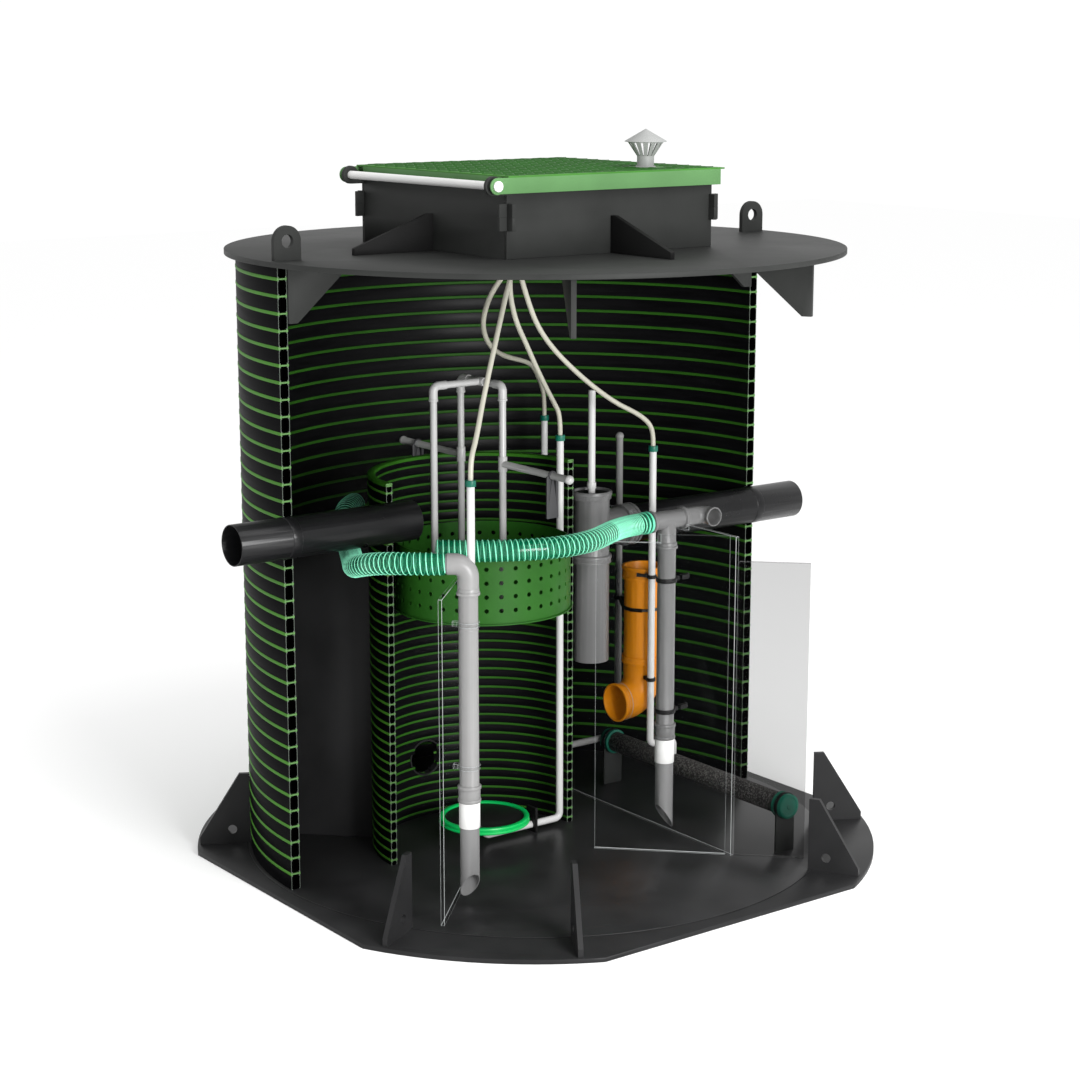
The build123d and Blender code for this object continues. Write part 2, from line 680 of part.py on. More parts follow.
def above(head, h):
    """point straight above an air pipe's coupling"""
    return (head[0], head[1], head[2] + air_coupling_h + h)


low = 2450
cord("air_tube_stub", [(-462, -440, manifold_z), (-462, -440, low), (-490, -375, 2363), (-439, -250, 2258),
                       (-348, -126, 2175), (-236, -12, 2103), (-108, 95, 2050), (27, 200, 2012),
                       (162, 309, 1980), (288, 425, 1944), (404, 545, 1891), (510, 648, 1818),
                       above(heads[1], 86), above(heads[1], 0)], air_tube_r)
cord("air_tube_front_lift", [(-436, -440, manifold_z), (-436, -440, low), (-464, -436, 2360),
                             (-513, -456, 2241), (-573, -486, 2107), (-629, -512, 1973),
                             (-682, -545, 1846), above(heads[0], 77), above(heads[0], 0)], air_tube_r)
cord("air_tube_disc", [(-424, -412, manifold_z), (-424, -412, low), (-413, -388, 2364), (-339, -324, 2243),
                       (-237, -252, 2143), (-139, -187, 2035), (-36, -114, 1936), (66, -36, 1852),
                       above(heads[2], 83), above(heads[2], 0)], air_tube_r)
cord("air_tube_tube", [(-398, -430, manifold_z), (-398, -430, low), (-355, -409, 2362), (-261, -354, 2224),
                       (-139, -302, 2114), (-4, -260, 2016), (137, -220, 1925), (283, -177, 1845),
                       (416, -137, 1790), (499, -117, 1742), above(heads[3], 57), above(heads[3], 0)],
     air_tube_r)
hose_x, hose_y = end[0] - 0.8 * 100, end[1] + 0.6 * 100
cord("hose_front", [end, (hose_x, hose_y, lift_z), (-946, -380, 1376), (-974, -285, 1362), (-974, -181, 1335),
                    (-940, -85, 1308), (-884, 8, 1298), (-834, 99, 1301), (-790, 190, 1322),
                    (-748, 280, 1358), (-700, 366, 1403), (-638, 443, 1421), (-555, 512, 1421)], hose_r)
cord("hose_back", [(back_lift_x - back_lift_left, back_lift_y, lift_z),
                   (back_lift_x - back_lift_left - 100, back_lift_y, lift_z), (84, -418, 1382),
                   (-13, -474, 1383), (-111, -530, 1384), (-221, -554, 1384), (-333, -547, 1384),
                   (-438, -510, 1384), (-536, -456, 1384), (-629, -393, 1384), (-716, -321, 1384)], hose_r)
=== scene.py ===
import math

import bmesh
import bpy
from mathutils import Matrix, Vector


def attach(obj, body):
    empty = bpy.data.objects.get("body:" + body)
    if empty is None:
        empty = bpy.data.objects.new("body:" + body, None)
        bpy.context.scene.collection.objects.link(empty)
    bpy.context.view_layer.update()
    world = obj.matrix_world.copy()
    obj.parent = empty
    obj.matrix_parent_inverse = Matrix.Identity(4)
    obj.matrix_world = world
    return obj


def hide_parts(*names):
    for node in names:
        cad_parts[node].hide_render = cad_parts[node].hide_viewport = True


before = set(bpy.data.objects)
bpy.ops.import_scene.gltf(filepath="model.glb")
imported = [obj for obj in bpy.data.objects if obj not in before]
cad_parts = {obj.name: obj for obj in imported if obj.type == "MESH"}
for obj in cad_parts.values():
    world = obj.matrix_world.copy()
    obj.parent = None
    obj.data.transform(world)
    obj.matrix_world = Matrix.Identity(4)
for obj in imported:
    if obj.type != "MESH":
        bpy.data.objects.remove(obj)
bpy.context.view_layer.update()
bpy.context.scene.view_settings.view_transform = "Standard"

# Sizes are in millimetres in the part's own frame, and mm() turns them into metres
MM = 0.001
FLOOR_Z = 22
COVER_UNDER = 2475


def mm(*values):
    return Vector([v * MM for v in values])


# Materials: what all plastics share, and the grain of the wound bands, drawn out round the wall
CLOUD_SCALE, CLOUD_DETAIL, GRAIN_DETAIL = 5, 5, 3
GLOSS_DOWN, GLOSS_UP = 0.06, 0.08
GRAIN_RELIEF = 0.0006
WOUND = (1, 1, 12)


def shader(name, color, rough, spec):
    material = bpy.data.materials.new(name)
    material.use_nodes = True
    bsdf = material.node_tree.nodes["Principled BSDF"]
    bsdf.inputs["Base Color"].default_value = (*color, 1)
    bsdf.inputs["Roughness"].default_value = rough
    bsdf.inputs["Specular IOR Level"].default_value = spec
    return material, material.node_tree, bsdf


def noise(tree, scale, detail, stretch=(1, 1, 1)):
    """noise in the piece's own space, with the pattern stretched along an axis"""
    coords = tree.nodes.new("ShaderNodeTexCoord")
    mapping = tree.nodes.new("ShaderNodeMapping")
    mapping.inputs["Scale"].default_value = stretch
    texture = tree.nodes.new("ShaderNodeTexNoise")
    texture.inputs["Scale"].default_value = scale
    texture.inputs["Detail"].default_value = detail
    tree.links.new(coords.outputs["Object"], mapping.inputs["Vector"])
    tree.links.new(mapping.outputs["Vector"], texture.inputs["Vector"])
    return texture.outputs["Fac"]


def ramp(tree, source, low, high, start=0.3, end=0.7):
    """colours between two tones, by the value of a noise"""
    node = tree.nodes.new("ShaderNodeValToRGB")
    node.color_ramp.elements[0].position = start
    node.color_ramp.elements[1].position = end
    node.color_ramp.elements[0].color = (*low, 1)
    node.color_ramp.elements[1].color = (*high, 1)
    tree.links.new(source, node.inputs["Fac"])
    return node.outputs["Color"]


def span(tree, source, low, high):
    """a number between two limits, by the value of a noise"""
    node = tree.nodes.new("ShaderNodeMapRange")
    node.inputs["To Min"].default_value = low
    node.inputs["To Max"].default_value = high
    tree.links.new(source, node.inputs["Value"])
    return node.outputs["Result"]


def bump(tree, bsdf, source, strength, distance):
    node = tree.nodes.new("ShaderNodeBump")
    node.inputs["Strength"].default_value = strength
    node.inputs["Distance"].default_value = distance
    tree.links.new(source, node.inputs["Height"])
    tree.links.new(node.outputs["Normal"], bsdf.inputs["Normal"])


def plastic(name, color, rough, vary=0.12, grain=180, bumpy=0.15, stretch=(1, 1, 1), spec=0.5):
    """moulded or extruded plastic: slight cloudiness, uneven gloss and a fine grain"""
    material, tree, bsdf = shader(name, color, rough, spec=spec)
    dark = tuple(c * (1 - vary) for c in color)
    light = tuple(min(1, c * (1 + vary)) for c in color)
    cloud = noise(tree, CLOUD_SCALE, CLOUD_DETAIL, stretch)
    fine = noise(tree, grain, GRAIN_DETAIL, stretch)
    tree.links.new(ramp(tree, cloud, dark, light), bsdf.inputs["Base Color"])
    tree.links.new(span(tree, cloud, rough - GLOSS_DOWN, rough + GLOSS_UP), bsdf.inputs["Roughness"])
    bump(tree, bsdf, fine, bumpy, GRAIN_RELIEF)
    return material


def clear(name, color, opacity, rough, spec=0.5):
    """clear sheet or tube: thin, with a weak tint and a gloss"""
    material, tree, bsdf = shader(name, color, rough, spec=spec)
    bsdf.inputs["Alpha"].default_value = opacity
    fine = noise(tree, 60, 2)
    tree.links.new(span(tree, fine, rough, rough + 0.05), bsdf.inputs["Roughness"])
    material.surface_render_method = "BLENDED"
    return material


def speckled(name, color, light, scale):
    """matte surface with small pale specks, as on a perforated membrane"""
    material, tree, bsdf = shader(name, color, 0.8, spec=0.2)
    fine = noise(tree, scale, 2)
    tree.links.new(ramp(tree, fine, color, light, 0.46, 0.62), bsdf.inputs["Base Color"])
    bump(tree, bsdf, fine, 0.4, 0.0008)
    return material


MAT = {
    "plate": plastic("plate_black", (0.0145, 0.0145, 0.015), 0.42, 0.2, 260, 0.12, spec=0.16),
    "floor": plastic("floor_black", (0.016, 0.016, 0.0165), 0.30, 0.25, 40, 0.05, spec=0.22),
    "cover": plastic("cover_black", (0.024, 0.025, 0.024), 0.5, 0.12, 260, 0.12, spec=0.08),
    # neck gussets: a darker copy of the cover black, painted shade on faces turned from the light
    "cover_painted_shade": plastic("cover_black_painted_shade", (0.009, 0.009, 0.009), 0.5, 0.12, 260, 0.12, spec=0.05),
    "skin": plastic("wall_skin", (0.0034, 0.0034, 0.0038), 0.34, 0.3, 220, 0.1, WOUND, spec=0.06),
    # outer wall faces: a darker, less glossy copy of the skin black, painted shade
    "outer_skin_shaded": plastic("wall_outer_skin_painted_shade", (0.0024, 0.0024, 0.0028), 0.4, 0.3, 220, 0.1, WOUND,
                        spec=0.01),
    # wall cells: the black plastic made darker and matte, painted shade of the deep hollows
    "cell": plastic("wall_cell_painted_shade", (0.001, 0.001, 0.001), 0.9, spec=0.0),
    "skin_cut": plastic("wall_cut_edge", (0.09, 0.105, 0.09), 0.6, spec=0.1),
    "bead": plastic("weld_bead", (0.045, 0.165, 0.015), 0.5, 0.15, 300, 0.2, spec=0.1),
    # inside weld beads: a darker copy of the bead green, painted shade inside the tank
    "bead_inside_shaded": plastic("weld_bead_painted_shade", (0.018, 0.080, 0.007), 0.5, 0.15, 300, 0.2, spec=0.1),
    "bead_cut": plastic("weld_bead_cut", (0.085, 0.185, 0.060), 0.55, spec=0.1),
    "rim": plastic("tank_rim_green", (0.022, 0.105, 0.007), 0.5, 0.15, 300, 0.2, spec=0.1),
    "lid": plastic("lid_green", (0.038, 0.155, 0.019), 0.5, 0.12, 200, 0.2, spec=0.15),
    # tread ridges: a darker copy of the lid green, painted shade of the ridges
    "tread": plastic("tread_green_painted_shade", (0.012, 0.075, 0.006), 0.45, 0.15, 200, 0.2, spec=0.15),
    "skirt": plastic("skirt_green", (0.085, 0.195, 0.072), 0.5, 0.08, 200, 0.1, spec=0.15),
    "basket": plastic("basket_green", (0.015, 0.080, 0.008), 0.42, 0.12, 220, 0.1, spec=0.12),
    "pipe": plastic("pipe_grey", (0.20, 0.199, 0.197), 0.35, 0.05, 260, 0.06, spec=0.4),
    "pipe_mid": plastic("pipe_mid_grey", (0.108, 0.108, 0.108), 0.35, 0.06, 260, 0.06, spec=0.4),
    "pipe_tip": plastic("pipe_tip_grey", (0.158, 0.158, 0.158), 0.35, 0.06, 260, 0.06, spec=0.4),
    "white": plastic("pipe_white", (0.64, 0.64, 0.63), 0.35, 0.03, 260, 0.05),
    "air_white": plastic("pipe_air_white", (0.46, 0.46, 0.455), 0.35, 0.03, 260, 0.05, spec=0.3),
    "grey_white": plastic("pipe_grey_white", (0.20, 0.20, 0.198), 0.35, 0.03, 260, 0.05, spec=0.3),
    "soft_white": plastic("pipe_soft_white", (0.32, 0.32, 0.316), 0.35, 0.03, 260, 0.05),
    "drain": plastic("drain_black", (0.006, 0.006, 0.0065), 0.28, 0.15, 200, 0.06, spec=0.22),
    "orange": plastic("pipe_orange", (0.58, 0.200, 0.005), 0.35, 0.06, 200, 0.08, spec=0.18),
    "rubber": plastic("rubber_black", (0.006, 0.006, 0.006), 0.6, 0.2, 300, 0.3, spec=0.15),
    "membrane": speckled("membrane_grey", (0.020, 0.0195, 0.019), (0.085, 0.082, 0.078), 130),
    "teal": plastic("fitting_teal", (0.0016, 0.098, 0.062), 0.4, 0.15, 240, 0.12, spec=0.3),
    "ring": plastic("ring_green", (0.002, 0.38, 0.080), 0.3, 0.08, 200, 0.08, spec=0.35),
    "clamp": plastic("clamp_black", (0.005, 0.005, 0.005), 0.5, spec=0.2),
    "strap": plastic("strap_grey", (0.05, 0.045, 0.04), 0.5, spec=0.2),
    "hook": plastic("hook_grey", (0.035, 0.035, 0.037), 0.5, spec=0.2),
    "stand": plastic("stand_grey", (0.022, 0.023, 0.022), 0.45, spec=0.2),
    "vent": plastic("vent_grey", (0.27, 0.275, 0.27), 0.5, 0.05, 260, 0.08, spec=0.25),
    "tube": plastic("air_tube_cream", (0.34, 0.332, 0.275), 0.4, 0.06, 300, 0.08),
    "helix": plastic("hose_helix", (0.22, 0.72, 0.48), 0.4, 0.03, 200, 0.05),
    "hose": clear("hose_wall", (0.0, 0.115, 0.052), 0.60, 0.12, 0.3),
    "hose_end": plastic("hose_cuff", (0.09, 0.52, 0.32), 0.35, 0.05, 200, 0.05),
    "panel": clear("panel_clear", (0.02, 0.025, 0.025), 0.012, 0.05, 0.1),
    # bevelled edges of clear sheet: pale, painted highlight
    "panel_edge_highlight": clear("panel_edge_highlight", (0.40, 0.42, 0.42), 0.75, 0.4),
    "frosted": clear("panel_frosted", (0.004, 0.004, 0.004), 0.24, 0.6, 0.0),
    # bevelled edges of the frosted sheet: paler grey, painted highlight
    "frosted_edge_highlight": clear("panel_frosted_border_highlight", (0.10, 0.10, 0.10), 0.55, 0.5, 0.2),
    "clear_clamp": clear("clamp_clear", (0.10, 0.11, 0.11), 0.05, 0.1, 0.2),
}


# Mesh helpers


def add(name, mesh, materials, body="tank", replaces=(), smooth=None):
    """put a mesh in the scene on its body; edges sharper than smooth, in degrees, stay sharp"""
    obj = bpy.data.objects.new(name, mesh)
    bpy.context.scene.collection.objects.link(obj)
    for key in materials:
        mesh.materials.append(MAT[key])
    if smooth is not None:
        for polygon in mesh.polygons:
            polygon.use_smooth = True
        bpy.context.view_layer.objects.active = obj
        obj.select_set(True)
        bpy.ops.object.shade_smooth_by_angle(angle=math.radians(smooth))
        obj.select_set(False)
    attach(obj, body)
    if replaces:
        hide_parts(*replaces)
    return obj


def finish_mesh(bm, name):
    mesh = bpy.data.meshes.new(name)
    bmesh.ops.recalc_face_normals(bm, faces=bm.faces)
    bm.to_mesh(mesh)
    bm.free()
    return mesh


def frame_on(direction):
    """rotation that turns +Z onto a direction"""
    return Vector(direction).to_track_quat("Z", "Y").to_matrix().to_4x4()


def lathe(bm, profile, origin, direction=(0, 0, 1), steps=48, closed=False):
    """turn (radius, height) points in mm about an axis; a closed profile makes a ring"""
    place = Matrix.Translation(mm(*origin)) @ frame_on(direction)
    rings = []
    for k in range(steps):
        a = 2 * math.pi * k / steps
        ring = []
        for r, h in profile:
            ring.append(bm.verts.new(place @ mm(r * math.cos(a), r * math.sin(a), h)))
        rings.append(ring)
    pairs = list(zip(range(len(profile)), range(1, len(profile))))
    if closed:
        pairs.append((len(profile) - 1, 0))
    for k in range(steps):
        a, b = rings[k], rings[(k + 1) % steps]
        for i, j in pairs:
            bm.faces.new((a[i], b[i], b[j], a[j]))


PIPE_EDGE = 1.5


def tube_profile(length, outer, inner):
    """closed profile of a pipe with softened ends"""
    e, end = PIPE_EDGE, length
    return [(outer - e, 0), (outer, e), (outer, end - e), (outer - e, end),
            (inner + e, end), (inner, end - e), (inner, e), (inner + e, 0)]


def sweep(bm, points, sections, steps):
    """loft circles along points in mm, with one radius for all or a list of them"""
    points = [mm(*p) for p in points]
    normal = None
    rings = []
    for i, p in enumerate(points):
        before = points[max(i - 1, 0)]
        after = points[min(i + 1, len(points) - 1)]
        tangent = (after - before).normalized()
        if normal is None:
            normal = tangent.orthogonal().normalized()
        else:
            normal = (normal - tangent * normal.dot(tangent)).normalized()
        side = tangent.cross(normal)
        r = sections[i] * MM if isinstance(sections, list) else sections * MM
        ring = []
        for k in range(steps):
            a = 2 * math.pi * k / steps
            ring.append(bm.verts.new(p + normal * (r * math.cos(a)) + side * (r * math.sin(a))))
        rings.append(ring)
    for a, b in zip(rings, rings[1:]):
        for k in range(steps):
            bm.faces.new((a[k], a[(k + 1) % steps], b[(k + 1) % steps], b[k]))
    for ring in (rings[0], rings[-1]):
        bm.faces.new(ring)


def box(bm, low, high):
    """a block between two corners, in mm"""
    x0, y0, z0 = low
    x1, y1, z1 = high
    corners = [(x, y, z) for x in (x0, x1) for y in (y0, y1) for z in (z0, z1)]
    verts = [bm.verts.new(mm(*c)) for c in corners]
    for ids in ((0, 1, 3, 2), (4, 6, 7, 5), (0, 4, 5, 1), (2, 3, 7, 6), (0, 2, 6, 4), (1, 5, 7, 3)):
        bm.faces.new([verts[i] for i in ids])


WELD_GAP = 0.00002
SHARP_EDGE = 40


def bevelled(node, materials, width=1.5, body="tank"):
    """a copy of a CAD node with softened edges, which take the second material if there is one"""
    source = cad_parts[node]
    mesh = source.data.copy()
    mesh.materials.clear()
    obj = add(node + "_dressed", mesh, materials, body, [node])
    weld = obj.modifiers.new("weld", "WELD")
    weld.merge_threshold = WELD_GAP
    bevel = obj.modifiers.new("edges", "BEVEL")
    bevel.width = width * MM
    bevel.segments = 2
    bevel.limit_method = "ANGLE"
    bevel.angle_limit = math.radians(SHARP_EDGE)
    bevel.harden_normals = True
    if len(materials) > 1:
        bevel.material = 1
    return obj


def cord_curve(name, points, diameter, material, node, body="tank"):
    """a round cord on one smooth spline whose control points are the route's, in mm"""
    curve = bpy.data.curves.new(name, "CURVE")
    curve.dimensions = "3D"
    spline = curve.splines.new("NURBS")
    spline.points.add(len(points) - 1)
    for point, p in zip(spline.points, points):
        point.co = (*mm(*p), 1)
        point.radius = diameter * MM / 2
    spline.order_u = 3
    spline.use_endpoint_u = True
    spline.resolution_u = 12
    curve.bevel_depth = 1.0
    curve.bevel_resolution = 5
    curve.use_fill_caps = True
    curve.materials.append(MAT[material])
    obj = bpy.data.objects.new(name, curve)
    bpy.context.scene.collection.objects.link(obj)
    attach(obj, body)
    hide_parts(node)
    return obj


def centreline(obj):
    """points along a cord's own spline, read from the curve without its thickness"""
    bare = obj.data.copy()
    bare.bevel_depth = 0
    probe = bpy.data.objects.new("probe", bare)
    mesh = bpy.data.meshes.new_from_object(probe)
    points = [v.co.copy() for v in mesh.vertices]
    bpy.data.objects.remove(probe)
    bpy.data.curves.remove(bare)
    bpy.data.meshes.remove(mesh)
    return points


# Camera, as in the photograph
CAMERA_AT = (-5572.3, -7477.8, 3274.0)
CAMERA_LOOK = (0.5858, 0.7830, -0.2091)
camera = bpy.data.objects.new("camera", bpy.data.cameras.new("camera"))
bpy.context.scene.collection.objects.link(camera)
bpy.context.scene.camera = camera
camera.data.lens = 76.92
camera.data.sensor_width = 36
camera.data.clip_end = 60
camera.location = mm(*CAMERA_AT)
camera.rotation_euler = Vector(CAMERA_LOOK).to_track_quat("-Z", "Y").to_euler()


# Flexible air tubes: from the manifold in the neck to the couplings on top of the air pipes
AIR_TUBE = 20
MANIFOLD_Z = 2520
TUBE_LOW = 2450
COUPLING_H = 23
COUPLINGS = {"front_lift": (-728, -572, 1675), "stub": (570, 700, 1636), "disc": (126, 0, 1684),
             "tube": (533, -110, 1612)}

# Hoses: a clear wall and a wire round it, close-wound on the rear hose near its air lift
HOSE = 88
HOSE_WALL = 85
HOSE_WIRE = 2.4
HOSE_PITCH = 21.5
CLOSE_WOUND = (60, 270, 9.5)


def cord_length(points):
    return sum((b - a).length for a, b in zip(points, points[1:]))


def above(coupling, h):
    x, y, z = COUPLINGS[coupling]
    return (x, y, z + COUPLING_H + h)


AIR_ROUTES = {
    "air_tube_stub": [(-462, -440, MANIFOLD_Z), (-462, -440, TUBE_LOW), (-490, -375, 2363),
                      (-439, -250, 2258), (-348, -126, 2175), (-236, -12, 2103), (-108, 95, 2050),
                      (27, 200, 2012), (162, 309, 1980), (288, 425, 1944), (404, 545, 1891),
                      (510, 648, 1818), above("stub", 86), above("stub", 0)],
    "air_tube_front_lift": [(-436, -440, MANIFOLD_Z), (-436, -440, TUBE_LOW), (-464, -436, 2360),
                            (-513, -456, 2241), (-573, -486, 2107), (-629, -512, 1973),
                            (-682, -545, 1846), above("front_lift", 77), above("front_lift", 0)],
    "air_tube_disc": [(-424, -412, MANIFOLD_Z), (-424, -412, TUBE_LOW), (-413, -388, 2364),
                      (-339, -324, 2243), (-237, -252, 2143), (-139, -187, 2035), (-36, -114, 1936),
                      (66, -36, 1852), above("disc", 83), above("disc", 0)],
    "air_tube_tube": [(-398, -430, MANIFOLD_Z), (-398, -430, TUBE_LOW), (-355, -409, 2362),
                      (-261, -354, 2224), (-139, -302, 2114), (-4, -260, 2016), (137, -220, 1925),
                      (283, -177, 1845), (416, -137, 1790), (499, -117, 1742), above("tube", 57),
                      above("tube", 0)],
}
HOSE_ROUTES = {
    "hose_front": [(-809.2, -521.6, 1381), (-889.2, -461.6, 1381), (-946, -380, 1376),
                   (-974, -285, 1362), (-974, -181, 1335), (-940, -85, 1308), (-884, 8, 1298),
                   (-834, 99, 1301), (-790, 190, 1322), (-748, 280, 1358), (-700, 366, 1403),
                   (-638, 443, 1421), (-555, 512, 1421)],
    "hose_back": [(289, -383, 1381), (189, -383, 1381), (84, -418, 1382), (-13, -474, 1383),
                  (-111, -530, 1384), (-221, -554, 1384), (-333, -547, 1384), (-438, -510, 1384),
                  (-536, -456, 1384), (-629, -393, 1384), (-716, -321, 1384)],
}

for name, route in AIR_ROUTES.items():
    tube = cord_curve(name + "_dressed", route, AIR_TUBE, "tube", name)
    cord_length(centreline(tube))


def helix(bm, line, radius, wire, pitch, close):
    """wire wound round a line of points; radius, wire and pitch in mm; close is (from, to, pitch)"""
    steps = 20
    travelled = [0.0]
    for a, b in zip(line, line[1:]):
        travelled.append(travelled[-1] + (b - a).length)
    total = travelled[-1]
    normal = (line[1] - line[0]).orthogonal().normalized()
    i = 0
    path = []
    s = 0.0
    k = -1
    while s < total:
        k += 1
        if close and close[0] * MM < s < close[1] * MM:
            s += close[2] * MM / steps
        else:
            s += pitch * MM / steps
        s = min(s, total)
        while i < len(line) - 2 and travelled[i + 1] < s:
            i += 1
        a, b = line[i], line[i + 1]
        tangent = (b - a).normalized()
        normal = (normal - tangent * normal.dot(tangent)).normalized()
        side = tangent.cross(normal)
        turn = 2 * math.pi * k / steps
        centre = a + tangent * (s - travelled[i])
        path.append(centre + (normal * math.cos(turn) + side * math.sin(turn)) * radius * MM)
    sweep(bm, [tuple(p / MM) for p in path], wire, steps=5)


for name, route in HOSE_ROUTES.items():
    hose = cord_curve(name + "_dressed", route, HOSE_WALL, "hose", name)
    hose.data.use_fill_caps = False
    line = centreline(hose)
    wires = bmesh.new()
    close = CLOSE_WOUND if name == "hose_back" else None
    helix(wires, line, HOSE / 2 - HOSE_WIRE, HOSE_WIRE, HOSE_PITCH, close)
    coil = add(name + "_helix", finish_mesh(wires, name + "_helix"), ["helix"], smooth=60)


# Wound walls: hollow bands between two skins, with green beads between the bands
WALL_LOOKS = ["skin", "cell", "skin_cut", "bead_cut", "bead", "rim", "bead_inside_shaded", "outer_skin_shaded"]
SKIN, CELL_SHADE, SKIN_CUT, BEAD_CUT, BEAD, RIM, BEAD_INSIDE_SHADED, OUTER_SKIN_SHADED = range(len(WALL_LOOKS))
SKIN_THICK = 2.2
INNER_BEAD = 0.95
WEB = 0.24
BEAD_SUNK, BEAD_PROUD = 6, 1.6
# The stretch of the half turn, from a cut face, that the open cells and the webs between them take; past
# it a black cap closes each cell as painted shade
CUT_DEPTH = [0.0, 0.012]


def wound_wall(name, radius, thickness, top, pitch, offset, bead, x0, notches, nodes, steps,
               hole=None, cap=False):
    """rear half of a wall; notches are (side, height, radius) where a pipe passes a cut face"""
    inside = INNER_BEAD * bead
    outer, inner = radius, radius - thickness

    def start_angle(r, z, side):
        angle = 0.0
        for where, height, pipe_r in notches:
            if where == side and abs(z - height) < pipe_r:
                angle = math.asin(min(1.0, math.sqrt(pipe_r ** 2 - (z - height) ** 2) / r))
        return angle

    def ring_point(r, z, t):
        a0 = start_angle(r, z, "right")
        a1 = math.pi - start_angle(r, z, "left")
        a = a0 + (a1 - a0) * t
        return mm(x0 + r * math.cos(a), r * math.sin(a), z)

    bm = bmesh.new()

    def surface(profile, material, parts=None):
        """sweep a closed profile of (radius, height) round the half circle, or a part of it"""
        rows = []
        for t in parts or [k / steps for k in range(steps + 1)]:
            rows.append([bm.verts.new(ring_point(r, z, t)) for r, z in profile])
        pairs = [(i, (i + 1) % len(profile)) for i in range(len(profile))]
        for a, b in zip(rows, rows[1:]):
            for i, j in pairs:
                bm.faces.new((a[i], b[i], b[j], a[j])).material_index = material
        return rows

    def end_face(loop, hollow, materials):
        """the cut face of a band: a strip between its outline and its hollow"""
        for i in range(len(loop)):
            j = (i + 1) % len(loop)
            bm.faces.new((loop[i], loop[j], hollow[j], hollow[i])).material_index = materials[i]

    z = top - offset
    seams = []
    while z > FLOOR_Z + 4:
        seams.append(z)
        z -= pitch
    levels = [top] + seams + [FLOOR_Z]
    ends = (CUT_DEPTH, [1 - d for d in CUT_DEPTH])
    for upper, lower in zip(levels, levels[1:]):
        hi = upper - (bead / 2 if upper != top else 0)
        lo = lower + (bead / 2 if lower != FLOOR_Z else 0)
        if hi - lo < 3:
            continue
        mid = (hi + lo) / 2
        high = upper - (inside / 2 if upper != top else 0)
        low = lower + (inside / 2 if lower != FLOOR_Z else 0)
        full = [(outer - 1.2, lo), (outer, lo + 4), (outer, mid), (outer, hi - 4), (outer - 1.2, hi),
                (inner + 1.2, high), (inner, high - 4), (inner, mid), (inner, low + 4), (inner + 1.2, low)]
        c = min(5, (hi - lo) / 4)
        o, n = outer - SKIN_THICK, inner + SKIN_THICK
        cell = [(o - c, lo + 1), (o, lo + c), (o, mid), (o, hi - c), (o - c, hi - 1),
                (n + c, hi - 1), (n, hi - c), (n, mid), (n, lo + c), (n + c, lo + 1)]
        rows = surface(full, SKIN)
        # the outer faces of each band take the darker outer skin, as painted shade
        for a, b in zip(rows, rows[1:]):
            for i in range(4):
                for face in a[i].link_faces:
                    if a[i + 1] in face.verts and b[i] in face.verts:
                        face.material_index = OUTER_SKIN_SHADED
        cut = [SKIN_CUT, SKIN_CUT, SKIN_CUT, SKIN_CUT, CELL_SHADE] * 2
        for part, side in zip(ends, (0, -1)):
            hollow = surface(cell, CELL_SHADE, part)
            end_face(rows[side], hollow[0], cut)
            # a black cap closes each cell a little way in: painted shade for the hollow beyond
            bm.faces.new(hollow[-1]).material_index = CELL_SHADE
    for seam in seams:
        # the inside beads take the darker green as painted shade
        for edge, way, h, key in ((outer, 1, bead / 2, BEAD), (inner, -1, inside / 2, BEAD_INSIDE_SHADED)):
            sunk, proud = BEAD_SUNK * way, BEAD_PROUD * way
            loop = [(edge - sunk, seam - h), (edge, seam - h), (edge + proud, seam - h / 2),
                    (edge + proud, seam + h / 2), (edge, seam + h), (edge - sunk, seam + h)]
            rows = surface(loop, key)
            for side in (0, -1):
                bm.faces.new(rows[side]).material_index = BEAD_CUT
        h = WEB * bead
        web = [(outer - 5, seam - h), (outer - 5, seam + h), (inner + 5, seam + h), (inner + 5, seam - h)]
        for part in ends:
            rows = surface(web, BEAD_CUT, part)
            bm.faces.new(rows[0]).material_index = BEAD_CUT
    if cap:
        capping = [(outer + 1, top - 8), (outer + 1, top + 3), (outer - 2, top + 5), (inner + 2, top + 5),
                   (inner - 1, top + 3), (inner - 1, top - 8)]
        rows = surface(capping, RIM)
        for side in (0, -1):
            bm.faces.new(rows[side]).material_index = BEAD_CUT
    if hole:
        hx, hz, hr = hole
        gone = []
        for face in bm.faces:
            centre = face.calc_center_median() / MM
            if centre.y > 0 and math.hypot(centre.x - hx, centre.z - hz) < hr:
                gone.append(face)
        bmesh.ops.delete(bm, geom=gone, context="FACES")
    add(name, finish_mesh(bm, name), WALL_LOOKS, replaces=nodes, smooth=35)


PIPE_GAP = 82
wound_wall("outer_wall", 1200, 40, COVER_UNDER, 65, 49, 12.5, 0,
           [("left", 1440, PIPE_GAP), ("right", 1289, PIPE_GAP)],
           [f"outer_wall_{i}" for i in range(1, 6)], 64)
wound_wall("inner_tank", 463, 28, 1593, 41, 34, 10, -268, [("left", 1440, PIPE_GAP)],
           [f"inner_tank_{i}" for i in range(1, 4)], 48, hole=(-268, 283, 75), cap=True)

hole_rim = bmesh.new()
lathe(hole_rim, tube_profile(36, 80, 73), (-268, 430, 283), (0, 1, 0), closed=True)
add("transfer_hole_sleeve", finish_mesh(hole_rim, "transfer_hole_sleeve"), ["plate"], smooth=40)

